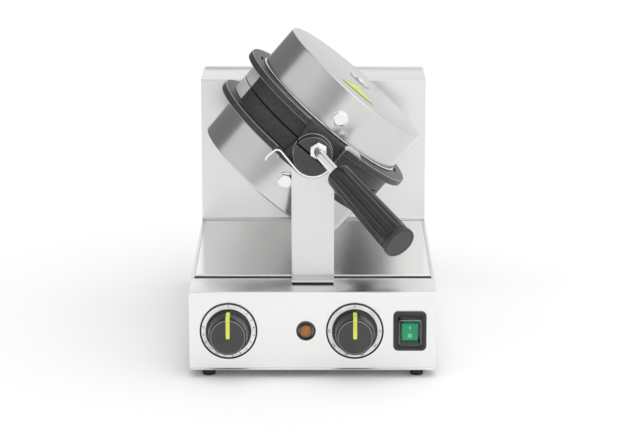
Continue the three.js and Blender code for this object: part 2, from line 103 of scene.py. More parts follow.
def addSky():
    world = bpy.data.worlds.new("studioSky")
    bpy.context.scene.world = world
    world.use_nodes = True
    nodes, links = world.node_tree.nodes, world.node_tree.links
    coordinates = nodes.new("ShaderNodeTexCoord")
    parts = nodes.new("ShaderNodeSeparateXYZ")
    toFront = nodes.new("ShaderNodeMath")
    toFront.operation = "MULTIPLY"
    toFront.inputs[1].default_value = -1
    bearing = nodes.new("ShaderNodeMath")
    bearing.operation = "ARCTAN2"
    spread = nodes.new("ShaderNodeMapRange")
    spread.inputs["From Min"].default_value = -math.pi
    spread.inputs["From Max"].default_value = math.pi
    shades = nodes.new("ShaderNodeValToRGB")
    band = shades.color_ramp
    for index, (degrees, level) in enumerate(studio["sky"]):
        position = (degrees + 180) / 360
        stop = band.elements[index] if index < 2 else band.elements.new(position)
        stop.position = position
        stop.color = (level, level, level, 1)
    surround = nodes["Background"]
    surround.inputs["Strength"].default_value = studio["skyStrength"]
    white = nodes.new("ShaderNodeBackground")
    white.inputs["Color"].default_value = (1, 1, 1, 1)
    path = nodes.new("ShaderNodeLightPath")
    mix = nodes.new("ShaderNodeMixShader")
    links.new(coordinates.outputs["Generated"], parts.inputs[0])
    links.new(parts.outputs["Y"], toFront.inputs[0])
    links.new(parts.outputs["X"], bearing.inputs[0])
    links.new(toFront.outputs[0], bearing.inputs[1])
    links.new(bearing.outputs[0], spread.inputs["Value"])
    links.new(spread.outputs[0], shades.inputs["Fac"])
    links.new(shades.outputs["Color"], surround.inputs["Color"])
    links.new(path.outputs["Is Camera Ray"], mix.inputs["Fac"])
    links.new(surround.outputs[0], mix.inputs[1])
    links.new(white.outputs[0], mix.inputs[2])
    links.new(mix.outputs[0], nodes["World Output"].inputs["Surface"])


def addFloor():
    bm = bmesh.new()
    bmesh.ops.create_grid(bm, x_segments=1, y_segments=1, size=studio["floorSize"] / 2)
    mesh = bpy.data.meshes.new("floor")
    bm.to_mesh(mesh)
    bm.free()
    floor = bpy.data.objects.new("floor", mesh)
    bpy.context.collection.objects.link(floor)
    paper = bpy.data.materials.new("palePaper")
    paper.use_nodes = True
    shader = paper.node_tree.nodes["Principled BSDF"]
    shader.inputs["Base Color"].default_value = (studio["floorColour"],) * 3 + (1,)
    shader.inputs["Roughness"].default_value = 0.9
    shader.inputs["Specular IOR Level"].default_value = 0.1
    mesh.materials.append(paper)


lamps = {
    "softSun": {"from": (-0.35, -0.5, 1.6), "strength": 0.9, "spread": 70},
    "fillSun": {"from": (0.9, -1.4, 0.9), "strength": 0.2, "spread": 90},
}


def addLamps():
    for name, lamp in lamps.items():
        data = bpy.data.lights.new(name, "SUN")
        data.energy = lamp["strength"]
        data.angle = math.radians(lamp["spread"])
        made = bpy.data.objects.new(name, data)
        made.rotation_euler = (-Vector(lamp["from"])).to_track_quat("-Z", "Y").to_euler()
        made.visible_glossy = False
        bpy.context.collection.objects.link(made)


addSky()
addFloor()
addLamps()
bpy.context.scene.view_settings.view_transform = "Standard"
print("studio ready")


# materials

def newFinish(name, colour, roughness, metallic=0.0):
    finish = bpy.data.materials.new(name)
    finish.use_nodes = True
    shader = finish.node_tree.nodes["Principled BSDF"]
    shader.inputs["Base Color"].default_value = (*colour, 1)
    shader.inputs["Roughness"].default_value = roughness
    shader.inputs["Metallic"].default_value = metallic
    return finish, shader


def adjust(finish, socket, value):
    finish.node_tree.nodes["Principled BSDF"].inputs[socket].default_value = value


def objectCoordinates(finish, scale=(1, 1, 1), undo=None):
    # undo = (location, rotation) brings the pattern into a turned part's own frame first
    nodes, links = finish.node_tree.nodes, finish.node_tree.links
    source = nodes.new("ShaderNodeTexCoord").outputs["Object"]
    if undo:
        level = nodes.new("ShaderNodeMapping")
        level.vector_type = "TEXTURE"
        level.inputs["Location"].default_value = undo[0]
        level.inputs["Rotation"].default_value = undo[1]
        links.new(source, level.inputs["Vector"])
        source = level.outputs[0]
    stretch = nodes.new("ShaderNodeMapping")
    stretch.inputs["Scale"].default_value = scale
    links.new(source, stretch.inputs["Vector"])
    return stretch.outputs[0]


def noise(finish, vector, scale, detail=4.0, roughness=0.6):
    node = finish.node_tree.nodes.new("ShaderNodeTexNoise")
    node.inputs["Scale"].default_value = scale
    node.inputs["Detail"].default_value = detail
    node.inputs["Roughness"].default_value = roughness
    finish.node_tree.links.new(vector, node.inputs["Vector"])
    return node.outputs["Fac"]


def blendColours(finish, factor, low, high, begin=0.35, end=0.65):
    ramp = finish.node_tree.nodes.new("ShaderNodeValToRGB")
    ramp.color_ramp.elements[0].position = begin
    ramp.color_ramp.elements[1].position = end
    ramp.color_ramp.elements[0].color = (*low, 1)
    ramp.color_ramp.elements[1].color = (*high, 1)
    finish.node_tree.links.new(factor, ramp.inputs["Fac"])
    return ramp.outputs["Color"]


def levels(finish, factor, low, high):
    span = finish.node_tree.nodes.new("ShaderNodeMapRange")
    span.inputs["To Min"].default_value = low
    span.inputs["To Max"].default_value = high
    finish.node_tree.links.new(factor, span.inputs["Value"])
    return span.outputs[0]


def bump(finish, shader, height, depth, strength=1.0):
    node = finish.node_tree.nodes.new("ShaderNodeBump")
    node.inputs["Strength"].default_value = strength
    node.inputs["Distance"].default_value = depth
    finish.node_tree.links.new(height, node.inputs["Height"])
    finish.node_tree.links.new(node.outputs[0], shader.inputs["Normal"])


def brushedSteel(name, grain, colour=(0.8, 0.8, 0.795), roughness=0.2, depth=0.00001):
    # grain gives how fine the pattern is along x, y and z: small along the brush strokes, large across
    finish, shader = newFinish(name, colour, roughness, 1.0)
    strokes = noise(finish, objectCoordinates(finish, grain), 1.0, 3.0)
    clouds = noise(finish, objectCoordinates(finish), 9.0, 2.0)
    paler = tuple(min(1, channel * 1.02) for channel in colour)
    darker = tuple(channel * 0.97 for channel in colour)
    links = finish.node_tree.links
    links.new(blendColours(finish, strokes, darker, paler), shader.inputs["Base Color"])
    mix = finish.node_tree.nodes.new("ShaderNodeMath")
    mix.operation = "ADD"
    links.new(levels(finish, strokes, -0.03, 0.04), mix.inputs[0])
    links.new(levels(finish, clouds, roughness - 0.03, roughness + 0.04), mix.inputs[1])
    links.new(mix.outputs[0], shader.inputs["Roughness"])
    bump(finish, shader, strokes, depth, 0.5)
    return finish


ironFrame = (turningAxis, (0, ironTilt, 0))


def turnedSteel(name, undo, lathe, colour, roughness, fineness, depth):
    # rings about the lathe axis: the pattern changes with radius and with height only
    finish, shader = newFinish(name, colour, roughness, 1.0)
    nodes, links = finish.node_tree.nodes, finish.node_tree.links
    own = objectCoordinates(finish, (1, 1, 1), undo)
    parts = nodes.new("ShaderNodeSeparateXYZ")
    links.new(own, parts.inputs[0])
    across = [axis for axis in "XYZ" if axis != lathe]
    flat = nodes.new("ShaderNodeCombineXYZ")
    links.new(parts.outputs[across[0]], flat.inputs["X"])
    links.new(parts.outputs[across[1]], flat.inputs["Y"])
    radius = nodes.new("ShaderNodeVectorMath")
    radius.operation = "LENGTH"
    links.new(flat.outputs[0], radius.inputs[0])
    rings = nodes.new("ShaderNodeCombineXYZ")
    links.new(radius.outputs["Value"], rings.inputs["X"])
    links.new(parts.outputs[lathe], rings.inputs["Y"])
    strokes = noise(finish, rings.outputs[0], fineness, 3.0)
    clouds = noise(finish, own, 14.0, 2.0)
    paler = tuple(min(1, channel * 1.03) for channel in colour)
    darker = tuple(channel * 0.93 for channel in colour)
    links.new(blendColours(finish, strokes, darker, paler), shader.inputs["Base Color"])
    mix = nodes.new("ShaderNodeMath")
    mix.operation = "ADD"
    links.new(levels(finish, strokes, -0.04, 0.05), mix.inputs[0])
    links.new(levels(finish, clouds, roughness - 0.03, roughness + 0.05), mix.inputs[1])
    links.new(mix.outputs[0], shader.inputs["Roughness"])
    bump(finish, shader, strokes, depth, 0.5)
    return finish


def castIron(name="castIron"):
    finish, shader = newFinish(name, (0.03, 0.03, 0.031), 0.5)
    own = objectCoordinates(finish)
    grain = noise(finish, own, 900.0, 6.0, 0.75)
    stains = noise(finish, own, 220.0, 6.0, 0.7)
    links = finish.node_tree.links
    tone = blendColours(finish, stains, (0.014, 0.014, 0.0145), (0.036, 0.036, 0.037))
    links.new(tone, shader.inputs["Base Color"])
    links.new(levels(finish, grain, 0.36, 0.66), shader.inputs["Roughness"])
    shader.inputs["Coat Weight"].default_value = 0.25
    shader.inputs["Coat Roughness"].default_value = 0.2
    bump(finish, shader, grain, 0.00012, 0.5)
    return finish


def rubbedIron(name, colour, roughness, lathe="Y"):
    # paler cast iron: turned bright on the hub, part wear and part painted highlight on the rims, painted
    # reflection on the wall
    finish = turnedSteel(name, ironFrame, lathe, colour, roughness, 700.0, 0.00004)
    adjust(finish, "Metallic", 0.75)
    return finish


def moulded(name, colour, roughness=0.4, grainScale=2500.0, grainDepth=0.00003, coat=0.0):
    finish, shader = newFinish(name, colour, roughness)
    own = objectCoordinates(finish)
    grain = noise(finish, own, grainScale, 3.0)
    tone = noise(finish, own, 70.0, 3.0)
    darker = tuple(channel * 0.88 for channel in colour)
    paler = tuple(min(1, channel * 1.12) for channel in colour)
    links = finish.node_tree.links
    links.new(blendColours(finish, tone, darker, paler), shader.inputs["Base Color"])
    links.new(levels(finish, grain, roughness - 0.07, roughness + 0.08), shader.inputs["Roughness"])
    shader.inputs["Coat Weight"].default_value = coat
    shader.inputs["Coat Roughness"].default_value = 0.12
    bump(finish, shader, grain, grainDepth, 0.5)
    return finish


def clearGlassy(name, colour, roughness, transmission, ior):
    finish, shader = newFinish(name, colour, roughness)
    tone = noise(finish, objectCoordinates(finish), 120.0, 2.0)
    deeper = tuple(channel * 0.9 for channel in colour)
    finish.node_tree.links.new(blendColours(finish, tone, deeper, colour), shader.inputs["Base Color"])
    shader.inputs["Transmission Weight"].default_value = transmission
    shader.inputs["IOR"].default_value = ior
    shader.inputs["Coat Weight"].default_value = 0.6
    return finish


sheetSteel = brushedSteel("sheetSteel", (25, 3800, 3800), (0.76, 0.76, 0.755), 0.2, 0.000004)
deckSteel = brushedSteel("deckSteel", (25, 3800, 3800), (0.9, 0.9, 0.895), 0.15, 0.000004)
uprightSteel = brushedSteel("uprightSteel", (3800, 3800, 25), (0.74, 0.74, 0.735), 0.3, 0.000004)
brightSteel = brushedSteel("brightSteel", (900, 900, 900), (0.86, 0.86, 0.855), 0.16, 0.000004)
drumSteel = turnedSteel("drumSteel", ironFrame, "Z", (0.66, 0.66, 0.655), 0.19, 4200.0, 0.000004)
# painted shade: the drum's flat top is a slightly darker copy of the drum steel
drumTopShadedSteel = turnedSteel("drumTopShadedSteel", ironFrame, "Z", (0.62, 0.62, 0.615), 0.2, 4200.0, 0.000004)
rodSteel = brushedSteel("rodSteel", (500, 60, 500), (0.84, 0.84, 0.835), 0.12, 0.000004)
plainSteel = brushedSteel("plainSteel", (500, 500, 500), (0.45, 0.45, 0.46), 0.32)
iron = castIron()
hubIron = rubbedIron("turnedHub", (0.075, 0.075, 0.077), 0.42)
# paler rims of the flange ring and the hub's edge: partly worn metal, partly painted highlight
rimHighlightIron = rubbedIron("wornRimHighlight", (0.3, 0.3, 0.3), 0.35, "Z")
# painted reflection: a pale patch on the casting wall on the user's left
wallReflectionIron = rubbedIron("paintedWallReflection", (0.6, 0.6, 0.59), 0.5, "Z")
adjust(wallReflectionIron, "Metallic", 0.2)
padIron = moulded("padIron", (0.13, 0.13, 0.128), 0.3, 900.0, 0.00006)
adjust(padIron, "Metallic", 0.5)
blackPlastic = moulded("blackPlastic", (0.022, 0.022, 0.023), 0.36, coat=0.15)
knobPlastic = moulded("knobPlastic", (0.012, 0.012, 0.0125), 0.24, coat=0.4)
adjust(knobPlastic, "IOR", 1.45)
# painted light: the knob's front face is a paler, matte copy of the knob plastic
knobLitFace = moulded("knobLitFace", (0.04, 0.04, 0.041), 0.5)
# painted highlight: a paler ring round the edge of the knob face
knobHighlightRing = moulded("knobHighlightRing", (0.2, 0.2, 0.2), 0.35)
# painted shade: the knob's skirt rim and the groove round its face are black
knobShadeBlack = moulded("knobShadeBlack", (0.003, 0.003, 0.003), 0.6)
frontSteel = brushedSteel("frontSteel", (25, 3800, 3800), (0.87, 0.87, 0.865), 0.24, 0.000004)
cradleSteel = brushedSteel("cradleSteel", (900, 900, 900), (0.9, 0.9, 0.895), 0.18, 0.000004)
rubber = moulded("footRubber", (0.016, 0.016, 0.017), 0.75, 1600.0, 0.00008)
palePlastic = moulded("palePlastic", (0.66, 0.64, 0.59), 0.5)
bronze = brushedSteel("sinteredBronze", (900, 900, 900), (0.5, 0.35, 0.17), 0.4, 0.00003)
limeInk = moulded("limeInlay", (0.62, 0.68, 0.09), 0.4, 1800.0, 0.00001)
oliveInk = moulded("oliveOutline", (0.2, 0.22, 0.03), 0.45, 1800.0, 0.00001)
dialSilver = moulded("dialSilver", (0.88, 0.88, 0.88), 0.35, 1200.0, 0.00001)
dialInk = moulded("dialInk", (0.01, 0.01, 0.0105), 0.4, 1200.0, 0.00001)
amberLens = clearGlassy("amberLens", (0.42, 0.15, 0.02), 0.08, 0.3, 1.5)
# painted shade: the lens rim where it sits in the bezel is darker
lensShade = clearGlassy("lensShade", (0.07, 0.05, 0.035), 0.1, 0.2, 1.5)
greenRocker = moulded("greenRocker", (0.001, 0.31, 0.12), 0.4, 1500.0, 0.00001)
markWhite = moulded("markWhite", (0.85, 0.9, 0.86), 0.4, 1500.0, 0.00001)
clearCover = moulded("clearCover", (0.1, 0.3, 0.2), 0.1, 1500.0, 0.000004)
adjust(clearCover, "Alpha", 0.03)
# painted highlight: a pale line along the front rim of the switch cover
coverEdgeHighlight = moulded("coverEdgeHighlight", (0.45, 0.7, 0.58), 0.12, 1500.0, 0.000004)
adjust(coverEdgeHighlight, "Alpha", 0.4)
print("materials ready")


# modelling helpers

def finishPiece(name, bm, finish, body, stands=(), edge=0.0, sharpAngle=32.0):
    # stands: the frame's nodes that this piece stands for; edge: width of the softened edges
    materials = finish if isinstance(finish, (list, tuple)) else [finish]
    mesh = bpy.data.meshes.new(name)
    bm.normal_update()
    bm.to_mesh(mesh)
    bm.free()
    mesh.shade_smooth()
    mesh.set_sharp_from_angle(angle=math.radians(sharpAngle))
    for material in materials:
        mesh.materials.append(material)
    piece = bpy.data.objects.new(name, mesh)
    bpy.context.collection.objects.link(piece)
    if edge:
        soften = piece.modifiers.new("soften", "BEVEL")
        soften.width = edge
        soften.segments = 2
        soften.limit_method = "ANGLE"
        soften.angle_limit = math.radians(40)
        soften.harden_normals = True
    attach(piece, body)
    if stands:
        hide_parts(*stands)
    return piece


def arc(centre, radius, start, end, steps):
    # points on an arc, in degrees
    angles = [math.radians(start + (end - start) * i / steps) for i in range(steps + 1)]
    return [(centre[0] + radius * math.cos(a), centre[1] + radius * math.sin(a)) for a in angles]


def wire(bm, points):
    verts = [bm.verts.new(Vector(point) * mm) for point in points]
    edges = [bm.edges.new(pair) for pair in zip(verts, verts[1:])]
    return verts, edges


def pull(bm, items, vector):
    # edges or faces are drawn out along a vector
    if isinstance(items[0], bmesh.types.BMEdge):
        made = bmesh.ops.extrude_edge_only(bm, edges=items)["geom"]
    else:
        made = bmesh.ops.extrude_face_region(bm, geom=items)["geom"]
    moved = [item for item in made if isinstance(item, bmesh.types.BMVert)]
    bmesh.ops.translate(bm, vec=vector, verts=moved)
    return made


def roundOff(bm, items, width, segments, affect="EDGES"):
    bmesh.ops.bevel(
        bm, geom=items, offset=width * mm, offset_type="OFFSET", segments=segments,
        profile=0.5, affect=affect, material=-1,
    )


def spun(profile, steps=96, bm=None):
    # profile: (radius, height) in mm, turned about z
    bm = bm or bmesh.new()
    verts, edges = wire(bm, [(radius, 0, height) for radius, height in profile])
    bmesh.ops.spin(
        bm, geom=verts + edges, cent=(0, 0, 0), axis=(0, 0, 1), angle=2 * math.pi, steps=steps, use_merge=True,
    )
    bmesh.ops.remove_doubles(bm, verts=bm.verts[:], dist=0.000001)
    faceOutward(bm)
    return bm


def block(bm, low, high, edgeRadius=0.0, segments=3):
    made = bmesh.ops.create_cube(bm, size=1)
    size = (Vector(high) - Vector(low)) * mm
    middle = (Vector(high) + Vector(low)) / 2 * mm
    bmesh.ops.scale(bm, vec=size, verts=made["verts"])
    bmesh.ops.translate(bm, vec=middle, verts=made["verts"])
    if edgeRadius:
        edges = list({edge for vert in made["verts"] for edge in vert.link_edges})
        roundOff(bm, edges, edgeRadius, segments)
    return made["verts"]


def folded(points, along, length, thickness, foldRadius):
    # a sheet folded along a line of points, pulled out along an axis; the wall grows to the points' right
    bm = bmesh.new()
    _, edges = wire(bm, points)
    pull(bm, edges, Vector(along) * length * mm)
    folds = [edge for edge in bm.edges if len(edge.link_faces) == 2]
    roundOff(bm, folds, foldRadius, 5)
    bmesh.ops.solidify(bm, geom=bm.faces[:], thickness=thickness * mm)
    faceOutward(bm)
    return bm


def faceOutward(bm):
    bmesh.ops.recalc_face_normals(bm, faces=bm.faces[:])


def addShell(bm, shell):
    # another closed shell of the same piece
    held = bpy.data.meshes.new("shell")
    shell.to_mesh(held)
    shell.free()
    bm.from_mesh(held)
    bpy.data.meshes.remove(held)


def turnForward(bm):
    # a piece turned about z comes to point at the user
    bmesh.ops.rotate(bm, cent=(0, 0, 0), matrix=Matrix.Rotation(math.pi / 2, 3, "X"), verts=bm.verts[:])


def place(bm, matrix):
    bmesh.ops.transform(bm, matrix=matrix, verts=bm.verts[:])


# stand: folded sheets

stand = {
    "sheet": 1.2,
    "footHeight": 9,
    "stripDepth": 54.5,
    "stripLip": 9,
    "deckFront": 61.6,
    "deckMargin": 3.3,
    "deckLip": 1.7,
    "deckLipDrop": 9,
    "splashY": 313.7,
    "splashToe": 4,
    "panelCorner": 3,
    "foldRadius": 1.4,
}
deckZ = deckTop / mm
half = standHalf / mm
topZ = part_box("splash_panel")[1].z / mm
backY = (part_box("rear_cover")[1].y - frontY) / mm


def addFrontPanel():
    points = [
        (-half, 0, stand["footHeight"]), (-half, 0, deckZ), (-half, stand["stripDepth"], deckZ),
        (-half, stand["stripDepth"], deckZ - stand["stripLip"]),
    ]
    bm = folded(points, (1, 0, 0), 2 * half, stand["sheet"], stand["foldRadius"])
    low = stand["footHeight"] * mm
    corners = [
        edge for edge in bm.edges
        if all(abs(vert.co.z - low) < 1e-5 and abs(abs(vert.co.x) - standHalf) < 1e-5 for vert in edge.verts)
    ]
    roundOff(bm, corners, stand["panelCorner"], 5)
    place(bm, atFront)
    finishPiece("frontPanel", bm, frontSteel, "stand", ["front_panel"], 0.00025)


def addDeck():
    width = half - stand["deckMargin"]
    front, lip = stand["deckFront"], deckZ + stand["deckLip"]
    points = [
        (-width, front, deckZ - stand["deckLipDrop"]), (-width, front, lip), (-width, front + 2.4, lip),
        (-width, front + 4.6, deckZ), (-width, stand["splashY"] + stand["sheet"], deckZ),
    ]
    bm = folded(points, (1, 0, 0), 2 * width, stand["sheet"], 0.7)
    place(bm, atFront)
    finishPiece("deckPlate", bm, deckSteel, "stand", ["deck_plate"], 0.0002)


def addSplash():
    back, foot = stand["splashY"], deckZ + 1.5
    points = [
        (-half, back - stand["splashToe"], foot), (-half, back, foot), (-half, back, topZ),
        (-half, backY, topZ),
    ]
    bm = folded(points, (1, 0, 0), 2 * half, stand["sheet"], stand["foldRadius"])
    rear = backY * mm
    corners = [
        edge for edge in bm.edges
        if all(abs(vert.co.y - rear) < 1e-5 and abs(abs(vert.co.x) - standHalf) < 1e-5 for vert in edge.verts)
    ]
    roundOff(bm, corners, 2.5, 4)
    place(bm, atFront)
    finishPiece("splashPanel", bm, sheetSteel, "stand", ["splash_panel"], 0.00025)


def addDeckSeal():
    # a black rubber strip lies in the gap in front of the deck plate and makes the gap dark
    width = half - stand["deckMargin"]
    bm = bmesh.new()
    low = (-width, stand["stripDepth"] - 0.6, deckZ - 4)
    block(bm, low, (width, stand["deckFront"] - 0.1, deckZ - 0.5), 0.4, 2)
    place(bm, atFront)
    finishPiece("deckGapStrip", bm, rubber, "stand")


post = {
    "half": 21.8,
    "front": 53.2,
    "depth": 8,
    "thickness": 2,
    "footFlange": 23,
    "shoulder": 207,
    "seatRadius": 24.4,
    "foot": 94.4,
    "cornerRadius": 1.1,
}
axisZ = turningAxis.z / mm


def addPost():
    bm = bmesh.new()
    reach = math.degrees(math.acos((axisZ - post["shoulder"]) / post["seatRadius"]))
    seat = arc((0, axisZ), post["seatRadius"], -90 - reach, -90 + reach, 24)
    top = [(-post["half"], post["shoulder"])] + seat + [(post["half"], post["shoulder"])]
    verts, edges = wire(bm, [(x, post["front"], z) for x, z in top])
    pull(bm, edges, (0, 0, 0))
    for vert in set(bm.verts) - set(verts):
        vert.co.z = post["foot"] * mm
    side, foot = post["half"] * mm, post["foot"] * mm
    sides = [edge for edge in bm.edges if all(abs(abs(vert.co.x) - side) < 1e-6 for vert in edge.verts)]
    bottom = [edge for edge in bm.edges if all(abs(vert.co.z - foot) < 1e-6 for vert in edge.verts)]
    for edges, move in ((sides, (0, post["depth"], 0)), (bottom, (0, -post["footFlange"], 0))):
        pull(bm, edges, Vector(move) * mm)
    folds = [edge for edge in bm.edges if len(edge.link_faces) == 2 and edge.calc_face_angle() > 1]
    roundOff(bm, folds, post["cornerRadius"], 4)
    faceOutward(bm)
    bm.normal_update()
    upright = [face for face in bm.faces if abs(face.normal.y) > 0.9]
    frontward = max(upright, key=lambda face: face.calc_area())
    if frontward.normal.y > 0:
        bmesh.ops.reverse_faces(bm, faces=bm.faces[:])
    bmesh.ops.solidify(bm, geom=bm.faces[:], thickness=post["thickness"] * mm)
    place(bm, atFront)
    finishPiece("frontPost", bm, uprightSteel, "stand", ["front_post"], 0.00025)


gasket = {"half": 21.2, "front": 30.8, "back": 53.5, "clearance": 0.3}


def addPostGasket():
    g = gasket
    bm = bmesh.new()
    top = post["foot"] - post["thickness"] - g["clearance"]
    block(bm, (-g["half"], g["front"], deckZ + g["clearance"]), (g["half"], g["back"], top), 0.3, 2)
    place(bm, atFront)
    finishPiece("postGasket", bm, rubber, "stand", ["post_gasket"])


cradle = {"inner": 21.0, "thickness": 1.7, "front": 47.2, "depth": 14, "wingAngle": 51, "wing": 23.5, "hook": 9}


def addCradle():
    # the strip lines the seat, rises as a wing on both sides and turns down in a hook with a rolled tip
    outer = cradle["inner"] + cradle["thickness"]
    right = arc((0, 0), outer, -90, -90 + cradle["wingAngle"], 14)
    slope = math.radians(cradle["wingAngle"])
    startX, startZ = right[-1]
    crestX = startX + cradle["wing"] * math.cos(slope)
    crestZ = startZ + cradle["wing"] * math.sin(slope)
    bend = 4.4
    centre = (crestX + bend * math.sin(slope), crestZ - bend * math.cos(slope))
    right += arc(centre, bend, 90 + cradle["wingAngle"], 50, 10)
    endX, endZ = right[-1]
    fall = math.radians(-40)
    hookX = endX + cradle["hook"] * math.cos(fall)
    hookZ = endZ + cradle["hook"] * math.sin(fall)
    right += [(hookX, hookZ), (hookX + 1.2, hookZ - 1.9), (hookX + 1.0, hookZ - 3.2)]
    left = [(-x, z) for x, z in reversed(right[1:])]
    bm = bmesh.new()
    _, edges = wire(bm, [(x, cradle["front"], axisZ + z) for x, z in left + right])
    pull(bm, edges, (0, cradle["depth"] * mm, 0))
    bmesh.ops.solidify(bm, geom=bm.faces[:], thickness=cradle["thickness"] * mm)
    faceOutward(bm)
    place(bm, atFront)
    finishPiece("cradleStrip", bm, cradleSteel, "stand", ["cradle_strip"], 0.0, 30)


feet = {"radius": 7.3, "foot": 6.4, "height": 8.7}


def addFeet():
    for corner in ("front_left", "front_right", "rear_left", "rear_right"):
        low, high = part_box(f"foot_{corner}")
        centre = (low + high) / 2
        profile = [(0, 0), (feet["foot"] - 0.8, 0)] + arc((feet["foot"] - 0.8, 0.8), 0.8, -90, 0, 4)
        r, height = feet["radius"], feet["height"]
        profile += [(r, height - 0.4), (r - 0.4, height), (0, height)]
        bm = spun(profile, 40)
        place(bm, Matrix.Translation((centre.x, centre.y, 0)))
        finishPiece(f"foot{corner.title().replace('_', '')}", bm, rubber, "stand", [f"foot_{corner}"])


addFrontPanel()
addDeck()
addDeckSeal()
addSplash()
addPost()
addPostGasket()
addCradle()
addFeet()
print("stand ready")


# the two hinged plates

casting = {
    "parting": 0.5,
    "hubParting": 0.95,
    "paintedReflectionFrom": 85,
    "wallRadius": 93.2,
    "ringRadius": 105,
    "ringBottom": 17.8,
    "ringTop": 25.6,
    "pocketRadius": 80,
    "pocketFloor": 12,
    "hubRadius": 19.9,
    "hubFront": 123,
    "hubBack": 88,
    "neckFront": 105.4,
    "neckLength": 24,
    "neckTop": 24,
    "neckBase": 20.5,
    "lugHalf": 26,
    "lugBase": 3,
    "lugFront": 84,
    "lugBack": 108,
    "slotRadius": 92.4,
    "slotHalfAngle": 5.6,
    "slotDepth": 7,
    "faceRadius": 84,
    "faceDepth": 1.6,
    "padPitch": 8.4,
    "padGap": 1.7,
}


def ironBody(bm):
    # dished plate with its flange ring; the cooking face is let in, so that the waffle pads can stand in it
    c = casting
    profile = [
        (0, c["parting"] + c["faceDepth"]), (c["faceRadius"], c["parting"] + c["faceDepth"]),
        (c["faceRadius"] + 0.8, c["parting"]), (c["wallRadius"] - 0.6, c["parting"]),
        (c["wallRadius"], c["parting"] + 0.6), (c["wallRadius"], c["ringBottom"] - 2.2),
    ]
    profile += arc((c["wallRadius"] + 2.2, c["ringBottom"] - 2.2), 2.2, 180, 90, 5)
    profile += arc((c["ringRadius"] - 1.6, c["ringBottom"] + 1.6), 1.6, -90, 0, 4)
    profile += arc((c["ringRadius"] - 1.4, c["ringTop"] - 1.4), 1.4, 0, 90, 4)
    profile += [
        (c["slotRadius"] + 1.2, c["ringTop"]), (c["slotRadius"] - 1.2, c["ringTop"]),
        (c["pocketRadius"], c["ringTop"]), (c["pocketRadius"], c["pocketFloor"]), (0, c["pocketFloor"]),
    ]
    spun(profile, 180, bm)
    top = c["ringTop"] * mm
    slotFaces = []
    for face in bm.faces:
        middle = face.calc_center_median()
        distance = math.hypot(middle.x, middle.y) / mm
        bearing = math.degrees(math.atan2(abs(middle.y), abs(middle.x)))
        onTop = abs(middle.z - top) < 1e-6 and abs(distance - c["slotRadius"]) < 1.0
        if onTop and bearing < c["slotHalfAngle"]:
            slotFaces.append(face)
    pull(bm, slotFaces, (0, 0, -c["slotDepth"] * mm))
    bmesh.ops.delete(bm, geom=slotFaces, context="FACES")


def wafflePads(bm):
    # square pads with sloping sides, set corner to corner across the round face
    c = casting
    count = int(2 * c["faceRadius"] / c["padPitch"]) + 1
    field = bmesh.new()
    bmesh.ops.create_grid(field, x_segments=count, y_segments=count, size=count * c["padPitch"] / 2 * mm)
    bmesh.ops.split_edges(field, edges=field.edges[:])
    reach = (c["faceRadius"] - 1.5) * mm
    outside = [face for face in field.faces if max(vert.co.length for vert in face.verts) > reach]
    bmesh.ops.delete(field, geom=outside, context="FACES")
    pads = field.faces[:]
    gap = c["padGap"] / 2 * mm
    bmesh.ops.inset_individual(field, faces=pads, thickness=gap, depth=0.0, use_even_offset=True)
    bmesh.ops.inset_individual(field, faces=pads, thickness=0.9 * mm, depth=1.5 * mm, use_even_offset=True)
    for face in pads:
        face.material_index = 4
    bmesh.ops.rotate(field, cent=(0, 0, 0), matrix=Matrix.Rotation(math.pi, 3, "X"), verts=field.verts[:])
    bmesh.ops.rotate(field, cent=(0, 0, 0), matrix=Matrix.Rotation(math.pi / 4, 3, "Z"), verts=field.verts[:])
    bmesh.ops.translate(field, vec=(0, 0, (c["parting"] + c["faceDepth"] - 0.02) * mm), verts=field.verts[:])
    addShell(bm, field)


def halfHub(bm):
    c = casting
    r, front = c["hubRadius"], c["hubFront"]
    bead = c["neckFront"]
    profile = [(0, front), (r - 0.7, front)] + arc((r - 0.7, front - 0.7), 0.7, 90, 0, 4)
    profile += [(r, bead + 1.1), (r + 0.8, bead + 0.8), (r + 0.8, bead + 0.3), (r, bead)]
    profile += [(r, c["hubBack"]), (0, c["hubBack"])]
    hub = spun(profile, 96)
    turnForward(hub)
    cutPlane = (0, 0, c["hubParting"] * mm)
    cutEdges = bmesh.ops.bisect_plane(
        hub, geom=hub.verts[:] + hub.edges[:] + hub.faces[:],
        plane_co=cutPlane, plane_no=(0, 0, -1), clear_outer=True,
    )
    rim = [item for item in cutEdges["geom_cut"] if isinstance(item, bmesh.types.BMEdge)]
    bmesh.ops.edgenet_fill(hub, edges=rim)
    faceOutward(hub)
    # the hub's chamfer and bead take the paler rim finish: a painted highlight arc, partly standing for wear
    for face in hub.faces:
        distance = math.hypot(*face.calc_center_median().xz) / mm
        slanting = 0.2 < abs(face.normal.y) < 0.95
        face.material_index = 2 if slanting and distance > r - 1 else 1
    addShell(bm, hub)


def neck(bm):
    c = casting
    shell = bmesh.new()
    base, top = c["neckBase"], c["neckTop"]
    outline = [(-base, c["parting"]), (base, c["parting"]), (top, c["ringTop"]), (-top, c["ringTop"])]
    face = shell.faces.new([shell.verts.new(Vector((x, -c["neckFront"], z)) * mm) for x, z in outline])
    pull(shell, [face], (0, c["neckLength"] * mm, 0))
    roundOff(shell, shell.edges[:], 1.2, 3)
    faceOutward(shell)
    addShell(bm, shell)


